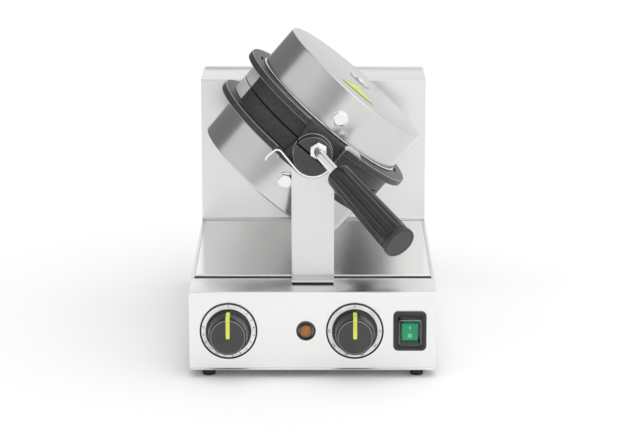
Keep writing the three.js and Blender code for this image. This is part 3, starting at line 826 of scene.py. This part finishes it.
def rubbed(bm, userLeft):
    # the rims of the flange ring are paler, partly worn and partly a painted highlight, and a painted reflection
    # lies pale on the wall on the user's left
    c = casting
    for face in bm.faces:
        middle = face.calc_center_median() / mm
        distance = math.hypot(middle.x, middle.y)
        level = abs(face.normal.z)
        rim = distance > c["ringRadius"] - 1.6 and 0.35 < level < 0.95
        wall = abs(distance - c["wallRadius"]) < 1 and c["parting"] < middle.z < c["ringBottom"] - 2
        if rim:
            face.material_index = 2
        # the wall beyond the given reach on the user's left takes the painted reflection
        elif wall and middle.x * userLeft > c["paintedReflectionFrom"]:
            face.material_index = 3


def addCasting(name, body, node, turn):
    c = casting
    bm = bmesh.new()
    ironBody(bm)
    bm.normal_update()
    rubbed(bm, -1 if body == "lid" else 1)
    wafflePads(bm)
    halfHub(bm)
    neck(bm)
    low, high = (-c["lugHalf"], c["lugFront"], c["lugBase"]), (c["lugHalf"], c["lugBack"], c["ringTop"])
    block(bm, low, high, 2.0)
    place(bm, ironPlace @ turn)
    finishPiece(name, bm, [iron, hubIron, rimHighlightIron, wallReflectionIron, padIron], body, [node], 0.0, 38)


drum = {
    "radius": 87.8,
    "top": 71.2,
    "wall": 1.2,
    "bend": 2.2,
    "baseBead": 1.3,
    "boltHeight": 43,
    "boltRadius": 8.2,
    "boltHead": 6.2,
    "screwAt": (4, 22),
}


def addDrum(name, body, node, turn):
    base = casting["ringTop"] + 0.3
    r, top, bend = drum["radius"], drum["top"], drum["bend"]
    inner = r - drum["wall"]
    profile = [(inner, base + 1), (inner, base), (r + drum["baseBead"] - 0.4, base)]
    profile += arc((r + drum["baseBead"] - 0.4, base + 0.5), 0.5, -90, 90, 5)
    profile += [(r, base + 1.6)]
    profile += arc((r - bend, top - bend), bend, 0, 90, 7)
    profile += [(0, top), (0, top - drum["wall"]), (inner - bend, top - drum["wall"])]
    profile += [(inner, top - bend - drum["wall"]), (inner, base + 1)]
    bm = spun(profile, 180)
    bm.normal_update()
    # the flat top takes the darker copy: painted shade
    for face in bm.faces:
        if abs(face.normal.z) > 0.95 and face.calc_center_median().z > (top - 0.1) * mm:
            face.material_index = 1
    place(bm, ironPlace @ turn)
    finishPiece(name, bm, [drumSteel, drumTopShadedSteel], body, [node])


def hexagon(bm, radius, low, high, chamfer):
    # a bright hexagon head along z, its corners taken off in a cone on the outer side
    made = bmesh.ops.create_cone(
        bm, cap_ends=True, segments=6, radius1=radius * mm, radius2=radius * mm, depth=(high - low) * mm,
    )
    bmesh.ops.translate(bm, vec=(0, 0, (low + high) / 2 * mm), verts=made["verts"])
    end = (high - 0.01) * mm
    outer = [face for face in bm.faces if face.normal.z > 0.9 or face.calc_center_median().z > end]
    rim = [edge for face in outer for edge in face.edges]
    roundOff(bm, rim, chamfer, 3)


def addBolt(name, body, node, turn):
    bm = bmesh.new()
    hexagon(bm, drum["boltRadius"], 0.9, drum["boltHead"], 0.9)
    washer = spun([(0, 0.3), (8.6, 0.3), (8.9, 0.6), (8.6, 1.0), (0, 1.0)], 48)
    addShell(bm, washer)
    top = drum["boltHead"]
    face = spun([(0, top + 0.2), (6.2, top + 0.15), (6.8, top - 0.3)], 48)
    addShell(bm, face)
    turnForward(bm)
    lift = Matrix.Translation(Vector((0, -drum["radius"], drum["boltHeight"])) * mm)
    place(bm, ironPlace @ turn @ lift)
    finishPiece(name, bm, brightSteel, body, [node], 0.0, 25)


def addTopScrew(name, body, node, turn):
    # the screw sits in a shallow pressed dimple
    x, y = drum["screwAt"]
    top = drum["top"]
    dimple = [(13.5, top + 0.02), (12.2, top + 0.7), (11.2, top + 0.75), (8.4, top + 0.1), (6.2, top + 0.04)]
    bm = spun(dimple, 64)
    headProfile = [(0, top + 2.6), (2.6, top + 2.4)] + arc((2.9, top + 0.9), 1.5, 70, 0, 5)
    headProfile += [(4.4, top + 0.3), (0, top + 0.3)]
    head = spun(headProfile, 48)
    addShell(bm, head)
    slotBar = bmesh.new()
    block(slotBar, (-3.6, -0.5, top + 2.2), (3.6, 0.5, top + 2.68), 0.1, 1)
    addShell(bm, slotBar)
    # painted shade: the raised rim of the dimple is darker plain steel, standing for shade on its slopes
    for face in bm.faces:
        middle = face.calc_center_median() / mm
        distance = math.hypot(middle.x, middle.y)
        if 10.8 < distance < 14 or middle.z > 0 and 5.8 < distance < 6.3:
            face.material_index = 1
    place(bm, ironPlace @ turn @ Matrix.Translation((x * mm, y * mm, 0)))
    finishPiece(name, bm, [brightSteel, plainSteel], body, [node], 0.0, 30)


def addPlates():
    level = Matrix.Identity(4)
    for side, body, turn in (("upper", "lid", level), ("lower", "turning_iron", turnOver)):
        addCasting(f"{side}Casting", body, f"{side}_casting", turn)
        addDrum(f"{side}Drum", body, f"{side}_drum", turn)
        addBolt(f"{side}Bolt", body, f"{side}_drum_bolt", turn)
        addTopScrew(f"{side}Screw", body, f"{side}_drum_screw", turn)
        print(side, "plate ready")


marker = {"half": 21, "low": -59, "high": -22, "thickness": 0.3, "outline": 1.5}


def addMarker():
    # blank heat triangle on the lid
    z = drum["top"] + 0.3
    bm = bmesh.new()
    corners = [(-marker["half"], marker["low"]), (marker["half"], marker["low"]), (0, marker["high"])]
    face = bm.faces.new([bm.verts.new(Vector((x, y, z)) * mm) for x, y in corners])
    pull(bm, [face], (0, 0, marker["thickness"] * mm))
    bm.normal_update()
    upper = max(bm.faces, key=lambda item: item.calc_center_median().z)
    bmesh.ops.inset_region(bm, faces=[upper], thickness=0.6 * mm)
    ring = bmesh.ops.inset_region(bm, faces=[upper], thickness=marker["outline"] * mm)
    for item in ring["faces"]:
        item.material_index = 1
    faceOutward(bm)
    place(bm, ironPlace)
    finishPiece("heatTriangle", bm, [limeInk, oliveInk], "lid", ["heat_marker"])


handle = {
    "height": 9,
    "rodRadius": 5,
    "bend": 139,
    "bendReach": 8,
    "angle": 46,
    "gripStart": 35.8,
    "gripLength": 105,
    "nutRadius": 9.3,
    "nutBack": 123.3,
    "nutLength": 8,
    "flutes": 16,
    "fluteDepth": 0.06,
    "capLength": 5,
}


def alongHandle():
    # z runs down the handle from the bend
    slope = math.radians(handle["angle"])
    outward = Vector((math.sin(slope), -math.cos(slope), 0))
    turn = Vector((0, 0, 1)).rotation_difference(outward).to_matrix().to_4x4()
    bendPoint = Vector((0, -handle["bend"], handle["height"])) * mm
    return ironPlace @ Matrix.Translation(bendPoint) @ turn


def addNut():
    bm = bmesh.new()
    hexagon(bm, handle["nutRadius"], 0, handle["nutLength"], 0.9)
    front = handle["nutLength"]
    face = spun([(5.3, front + 0.1), (7.4, front + 0.1), (8.0, front - 0.4)], 48)
    addShell(bm, face)
    turnForward(bm)
    spin = Matrix.Rotation(-ironTilt, 4, "Y")
    place(bm, ironPlace @ Matrix.Translation(Vector((0, -handle["nutBack"], handle["height"])) * mm) @ spin)
    finishPiece("handleNut", bm, brightSteel, "lid", ["handle_nut"], 0.0, 25)


def addRod():
    h = handle
    bm = bmesh.new()
    start = -110
    bmesh.ops.create_circle(bm, cap_ends=True, segments=40, radius=h["rodRadius"] * mm)
    bmesh.ops.rotate(bm, cent=(0, 0, 0), matrix=Matrix.Rotation(math.pi / 2, 3, "X"), verts=bm.verts[:])
    bmesh.ops.translate(bm, vec=Vector((0, start, h["height"])) * mm, verts=bm.verts[:])
    bendStart = -h["bend"] + h["bendReach"]
    pulled = pull(bm, bm.faces[:], (0, (bendStart - start) * mm, 0))
    bend = math.radians(h["angle"])
    bendRadius = h["bendReach"] / math.tan(bend / 2)
    face = [item for item in pulled if isinstance(item, bmesh.types.BMFace)]
    turned = bmesh.ops.spin(
        bm, geom=face + [edge for edge in face[0].edges] + list(face[0].verts),
        cent=Vector((bendRadius, bendStart, h["height"])) * mm, axis=(0, 0, 1), angle=bend, steps=10,
    )
    last = [item for item in turned["geom_last"] if isinstance(item, bmesh.types.BMFace)]
    slope = Vector((math.sin(bend), -math.cos(bend), 0))
    pull(bm, last, slope * (h["gripStart"] + 8) * mm)
    inside = [item for item in face + last if item.is_valid]
    bmesh.ops.delete(bm, geom=inside, context="FACES_ONLY")
    bmesh.ops.remove_doubles(bm, verts=bm.verts[:], dist=0.000001)
    faceOutward(bm)
    place(bm, ironPlace)
    finishPiece("handleRod", bm, rodSteel, "lid", ["handle_rod"], 0.0, 45)


def gripFinish():
    # polished phenolic with long flow streaks from the mould
    finish, shader = newFinish("gripPhenolic", (0.01, 0.01, 0.01), 0.15)
    undo = (alongHandle().translation, alongHandle().to_euler())
    streaks = noise(finish, objectCoordinates(finish, (330, 330, 3), undo), 1.0, 3.0, 0.7)
    tone = blendColours(finish, streaks, (0.004, 0.004, 0.004), (0.02, 0.02, 0.0205), 0.4, 0.6)
    finish.node_tree.links.new(tone, shader.inputs["Base Color"])
    shader.inputs["IOR"].default_value = 1.5
    return finish


gripPhenolic = gripFinish()


def addGrip():
    h = handle
    length = h["gripLength"]
    body = [(13.2 + 2.6 * t / 12, 5 + (length - 8) * t / 12) for t in range(13)]
    profile = [(0, 0.2), (5.2, 0.2), (5.4, 0), (10.9, 0)] + arc((11.4, 1.4), 1.4, -90, 0, 4)
    profile += [(13.0, 3.4)] + body + [(15.5, length - 0.6), (15.2, length), (0, length)]
    bm = spun(profile, 240)
    for vert in bm.verts:
        distance = vert.co.z / mm
        radius = math.hypot(vert.co.x, vert.co.y)
        if radius < 12.5 * mm:
            continue
        fade = min(1, max(0, (distance - 4) / 6)) * min(1, max(0, (length - distance - 2) / 3))
        wave = abs(math.sin(h["flutes"] / 2 * math.atan2(vert.co.y, vert.co.x)))
        factor = 1 - h["fluteDepth"] * fade * (wave ** 0.8 - 0.25)
        vert.co.x *= factor
        vert.co.y *= factor
    place(bm, alongHandle() @ Matrix.Translation((0, 0, h["gripStart"] * mm)))
    finishPiece("handleGrip", bm, gripPhenolic, "lid", ["handle_grip"], 0.0, 40)
    low = h["gripStart"] + length + 0.3
    cap = [(0, low), (15.8, low)] + arc((15.6, low + 1), 1, -60, 0, 3) + arc((15.4, low + 3.8), 1.2, 0, 90, 5)
    cap += [(14.4, low + h["capLength"]), (13.8, low + h["capLength"] - 0.35), (0, low + h["capLength"] - 0.2)]
    bm = spun(cap, 96)
    place(bm, alongHandle())
    finishPiece("handleEndCap", bm, blackPlastic, "lid", ["handle_end_cap"], 0.0, 30)


addPlates()
addMarker()
addNut()
addRod()
addGrip()
print("handle ready")


# controls on the front panel

controls = {"height": 49.8, "timerX": -85.1, "thermostatX": 42.6, "pilotX": -6.8, "switchX": 98.3}

dial = {
    "radius": 29.2,
    "thickness": 0.8,
    "outline": 1.7,
    "rim": 1.1,
    "knobSkirt": 23,
    "knobLength": 24,
    "numeralRadius": 25.7,
    "numeralSize": 3.1,
    "timerMarks": [str(n) for n in range(1, 16)],
    "timerStep": 17.9,
    "timerStart": 28,
    "thermostatMarks": ["50", "100", "150", "200", "250", "300"],
    "thermostatStep": 36,
    "thermostatStart": 90,
}


def onPanel(x, y):
    return atFront @ Matrix.Translation(Vector((x, y, controls["height"])) * mm)


def flatText(bm, words, size, x, y, turn):
    # numerals lie flat on the dial, their feet towards its middle
    curve = bpy.data.curves.new("numeral", "FONT")
    curve.body = words
    curve.size = size * mm
    curve.align_x = "CENTER"
    curve.align_y = "CENTER"
    curve.extrude = 0.00004
    curve.resolution_u = 2
    holder = bpy.data.objects.new("numeral", curve)
    bpy.context.collection.objects.link(holder)
    bpy.context.view_layer.update()
    mesh = bpy.data.meshes.new_from_object(holder.evaluated_get(bpy.context.evaluated_depsgraph_get()))
    mesh.transform(Matrix.Translation((x * mm, y * mm, 0)) @ Matrix.Rotation(turn, 4, "Z"))
    bm.from_mesh(mesh)
    bpy.data.objects.remove(holder)
    bpy.data.curves.remove(curve)
    bpy.data.meshes.remove(mesh)


def addDial(name, x, marks, step, start):
    r, thick = dial["radius"], dial["thickness"]
    profile = [(5, 0.3), (r, 0.3)] + arc((r - 0.4, thick - 0.1), 0.4, 0, 90, 3)
    profile += [(r - dial["outline"], thick + 0.3), (5, thick + 0.3), (5, 0.3)]
    profile = [(at, height + dial["rim"]) if height > thick and at > r - dial["outline"] else (at, height)
               for at, height in profile]
    bm = spun(profile, 128)
    for face in bm.faces:
        middle = face.calc_center_median()
        if math.hypot(middle.x, middle.y) > (r - dial["outline"]) * mm:
            face.material_index = 1
    turnForward(bm)
    at = onPanel(x, 0)
    place(bm, at)
    finishPiece(f"{name}Dial", bm, [dialSilver, dialInk], "stand", [f"{name}_dial_plate"], 0.0, 30)
    numerals = bmesh.new()
    away = dial["numeralRadius"]
    flatText(numerals, "0", dial["numeralSize"], 0, away, 0)
    for index, words in enumerate(marks):
        bearing = math.radians(90 - start - step * index)
        flatText(
            numerals, words, dial["numeralSize"],
            away * math.cos(bearing), away * math.sin(bearing), bearing - math.pi / 2,
        )
    bmesh.ops.translate(numerals, vec=(0, 0, (thick + 0.34) * mm), verts=numerals.verts[:])
    turnForward(numerals)
    place(numerals, at)
    finishPiece(f"{name}Numerals", numerals, dialInk, "stand")


def addKnob(name, x):
    r, length = dial["knobSkirt"], dial["knobLength"]
    back = dial["thickness"] + 0.6
    profile = [(0, 0), (r - 0.3, 0), (r, 0.3), (r, 2.6)] + arc((r - 1, 2.6), 1, 0, 80, 4)
    profile += [(r - 1.9, 4.0), (r - 2.5, 6.0), (18.9, length - 2.2), (18.55, length - 1.6)]
    profile += [(18.3, length - 1.5), (18.0, length - 1.7), (17.7, length - 1.5)]
    profile += arc((16.5, length - 1.2), 1.2, 15, 90, 5) + [(0, length)]
    bm = spun(profile, 128)
    bm.normal_update()
    for face in bm.faces:
        middle = face.calc_center_median() / mm
        radius = math.hypot(middle.x, middle.y)
        # the front face: painted paler as lit
        if middle.z > length - 0.05:
            face.material_index = 1
        # the ring round the face: painted highlight
        elif middle.z > length - 1.1 and radius < 17.6:
            face.material_index = 2
        # the skirt rim and the groove round the face: painted black as shade
        elif radius > r - 1.2 or (middle.z > length - 2 and radius < 18.3):
            face.material_index = 3
    turnForward(bm)
    at = onPanel(x, -back)
    place(bm, at)
    knobFinishes = [knobPlastic, knobLitFace, knobHighlightRing, knobShadeBlack]
    finishPiece(f"{name}Knob", bm, knobFinishes, f"{name}_dial", [f"{name}_knob"], 0.0, 30)
    bar = bmesh.new()
    path = [(-length - 0.7, -1.6), (-length - 0.7, 18.5), (-length + 1.4, 20.0), (-7.5, 21.7)]
    width = 4
    _, edges = wire(bar, [(-width / 2, y, z) for y, z in path])
    pull(bar, edges, (width * mm, 0, 0))
    ends = [
        edge for edge in bar.edges
        if len(edge.link_faces) == 1 and abs(edge.verts[0].co.z - edge.verts[1].co.z) < 1e-6
    ]
    tips = list({vert for edge in ends for vert in edge.verts})
    roundOff(bar, tips, 1.6, 5, "VERTICES")
    faceOutward(bar)
    if sum(face.normal.y for face in bar.faces) > 0:
        bmesh.ops.reverse_faces(bar, faces=bar.faces[:])
    bmesh.ops.solidify(bar, geom=bar.faces[:], thickness=0.8 * mm)
    place(bar, at)
    finishPiece(f"{name}Pointer", bar, limeInk, f"{name}_dial", [f"{name}_pointer"], 0.0, 50)


def addPilotLamp():
    at = onPanel(controls["pilotX"], 0)
    bezel = spun([(7.4, -8), (7.9, -8), (7.9, 0.3), (9.6, 0.3), (9.85, 0.6), (9.85, 1.9)]
                 + arc((8.85, 1.9), 1, 0, 80, 4) + [(8.2, 2.7), (7.4, 1.6), (7.4, -8)], 72)
    turnForward(bezel)
    place(bezel, at)
    finishPiece("pilotBezel", bezel, knobPlastic, "stand", ["pilot_bezel"], 0.0, 30)
    lens = spun([(0, -8), (7.1, -8), (7.1, 1.4), (6.6, 2.3), (6.0, 2.3), (5.2, 3.4), (4.5, 3.4), (3.6, 4.3),
                 (2.6, 4.3), (2.1, 4.7), (1.2, 4.85), (0, 4.9)], 72)
    for face in lens.faces:
        middle = face.calc_center_median() / mm
        # the rim of the lens takes the painted shade
        if math.hypot(middle.x, middle.y) > 5.8:
            face.material_index = 1
    turnForward(lens)
    place(lens, at)
    finishPiece("pilotLens", lens, [amberLens, lensShade], "stand", ["pilot_lens"], 0.0, 20)


switch = {
    "bezelHalf": (16.8, 20.5),
    "corner": 5,
    "bezelFront": 3.2,
    "coverHalf": (11.4, 13.2),
    "coverFront": 8.6,
    "rockerHalf": (7.9, 8.9),
}


def roundedSlab(halfX, halfY, corner, low, high, lip):
    bm = bmesh.new()
    block(bm, (-halfX, -halfY, low), (halfX, halfY, high))
    uprights = [edge for edge in bm.edges if abs(edge.verts[0].co.z - edge.verts[1].co.z) > 1e-5]
    roundOff(bm, uprights, corner, 8)
    rim = [edge for edge in bm.edges if all(abs(vert.co.z - high * mm) < 1e-6 for vert in edge.verts)]
    roundOff(bm, rim, lip, 4)
    return bm


def addSwitch():
    at = onPanel(controls["switchX"], 0)
    halfX, halfY = switch["bezelHalf"]
    bm = roundedSlab(halfX, halfY, switch["corner"], 0.3, switch["bezelFront"], 1.2)
    front = max(bm.faces, key=lambda item: (item.calc_center_median().z, item.calc_area()))
    for thickness, depth in ((2.2, 0.0), (0.5, -1.0), (1.2, 0.0), (0.4, -1.6)):
        bmesh.ops.inset_region(
            bm, faces=[front], thickness=thickness * mm, depth=depth * mm, use_even_offset=True,
        )
    turnForward(bm)
    place(bm, at)
    finishPiece("switchBezel", bm, knobPlastic, "stand", ["switch_bezel", "switch_housing"], 0.0, 30)

    coverX, coverY = switch["coverHalf"]
    bm = roundedSlab(coverX, coverY, 2.5, 0.8, switch["coverFront"], 0.9)
    bm.normal_update()
    back = min(bm.faces, key=lambda item: (item.calc_center_median().z, -item.calc_area()))
    bmesh.ops.delete(bm, geom=[back], context="FACES")
    # the bevels round the cover's front take the painted highlight
    for face in bm.faces:
        middle = face.calc_center_median().z / mm
        if 0.2 < face.normal.z < 0.95 and middle > switch["coverFront"] - 1.6:
            face.material_index = 1
    bmesh.ops.solidify(bm, geom=bm.faces[:], thickness=0.7 * mm)
    turnForward(bm)
    place(bm, at)
    finishPiece("switchCover", bm, [clearCover, coverEdgeHighlight], "stand", ["switch_cover"], 0.0, 40)


rocker = {"front": 5.0, "dip": 1.3, "tilt": 7, "marks": (("I", 4.2), ("O", -4.6))}


def addRocker():
    halfX, halfY = switch["rockerHalf"]
    bm = bmesh.new()
    points = [(-halfX, -halfY, 0.5)]
    points += [
        (-halfX, -halfY + 2 * halfY * t / 10, rocker["front"] - rocker["dip"] * (1 - (t / 5 - 1) ** 2))
        for t in range(11)
    ]
    points += [(-halfX, halfY, 0.5)]
    verts, edges = wire(bm, points)
    edges.append(bm.edges.new((verts[-1], verts[0])))
    side = bmesh.ops.contextual_create(bm, geom=edges)["faces"]
    pull(bm, side, (2 * halfX * mm, 0, 0))
    faceOutward(bm)
    tilt = Matrix.Rotation(math.radians(rocker["tilt"]), 4, "X")
    place(bm, tilt)
    turnForward(bm)
    at = onPanel(controls["switchX"], 1.5)
    place(bm, at)
    finishPiece("switchRocker", bm, greenRocker, "power_rocker", ["switch_rocker"], 0.0004, 30)
    marks = bmesh.new()
    for words, height in rocker["marks"]:
        flatText(marks, words, 5.6 if words == "I" else 5.2, 0, height, 0)
    for vert in marks.verts:
        t = vert.co.y / (halfY * mm)
        vert.co.z += (rocker["front"] - rocker["dip"] * (1 - t * t) + 0.08) * mm
    place(marks, tilt)
    turnForward(marks)
    place(marks, at)
    finishPiece("switchMarks", marks, markWhite, "power_rocker")


for name in ("timer", "thermostat"):
    addDial(name, controls[f"{name}X"], dial[f"{name}Marks"], dial[f"{name}Step"], dial[f"{name}Start"])
addKnob("timer", controls["timerX"])
addKnob("thermostat", controls["thermostatX"])
addPilotLamp()
addSwitch()
addRocker()
print("controls ready")


# rear bearing and hinge

def addRearPieces():
    toBearing = Matrix.Translation((0, frontY + stand["splashY"] * mm, turningAxis.z))
    back = Matrix.Rotation(-math.pi / 2, 4, "X")
    flange = [(14.3, -4.3), (28.8, -4.3)] + arc((28.8, -3.1), 1.2, -90, 0, 4)
    sleeve = [(30, -0.3), (18.7, -0.3), (18.7, 42), (17.9, 42.5), (14.3, 42.5), (14.3, -4.3)]
    housing = spun(flange + sleeve, 72)
    place(housing, toBearing @ back)
    finishPiece("bearingHousing", housing, plainSteel, "stand", ["bearing_housing"])
    pinBack, pinUp = 124, 26
    pin = spun([(0, -28.4), (3.4, -28.4), (4, -27.8), (4, 27.8), (3.4, 28.4), (0, 28.4)], 40)
    across = Matrix.Rotation(math.pi / 2, 4, "Y")
    place(pin, ironPlace @ Matrix.Translation(Vector((0, pinBack, pinUp)) * mm) @ across)
    finishPiece("hingePin", pin, plainSteel, "turning_iron", ["hinge_pin"])
    shaftEnd = (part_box("rear_shaft")[1].y - turningAxis.y) / mm
    collar = [(6, 118.3), (17, 118.3), (17, 125.4), (16.4, 126), (11, 126)]
    shaft = spun(collar + [(11, shaftEnd - 0.8), (10.2, shaftEnd), (6, shaftEnd), (6, 118.3)], 72)
    place(shaft, Matrix.Translation(turningAxis) @ back)
    finishPiece("rearShaft", shaft, plainSteel, "turning_iron", ["rear_shaft"])


addRearPieces()

# everything of the frame that still shows gets its finish
keptFinishes = {
    "stainless_sheet": sheetSteel,
    "bright_steel": brightSteel,
    "plain_steel": plainSteel,
    "cast_iron": iron,
    "foot_rubber": rubber,
    "bronze": bronze,
    "dial_silver": dialSilver,
    "pale_plastic": palePlastic,
    "black_plastic": blackPlastic,
    "grip_black": gripPhenolic,
    "lime": limeInk,
    "amber_lens": amberLens,
    "green_rocker": greenRocker,
    "clear_cover": clearCover,
}
for nodeName, node in frame["nodes"].items():
    for surface in node.material_slots:
        surface.material = keptFinishes[finishes[nodeName]]
print("frame nodes painted")
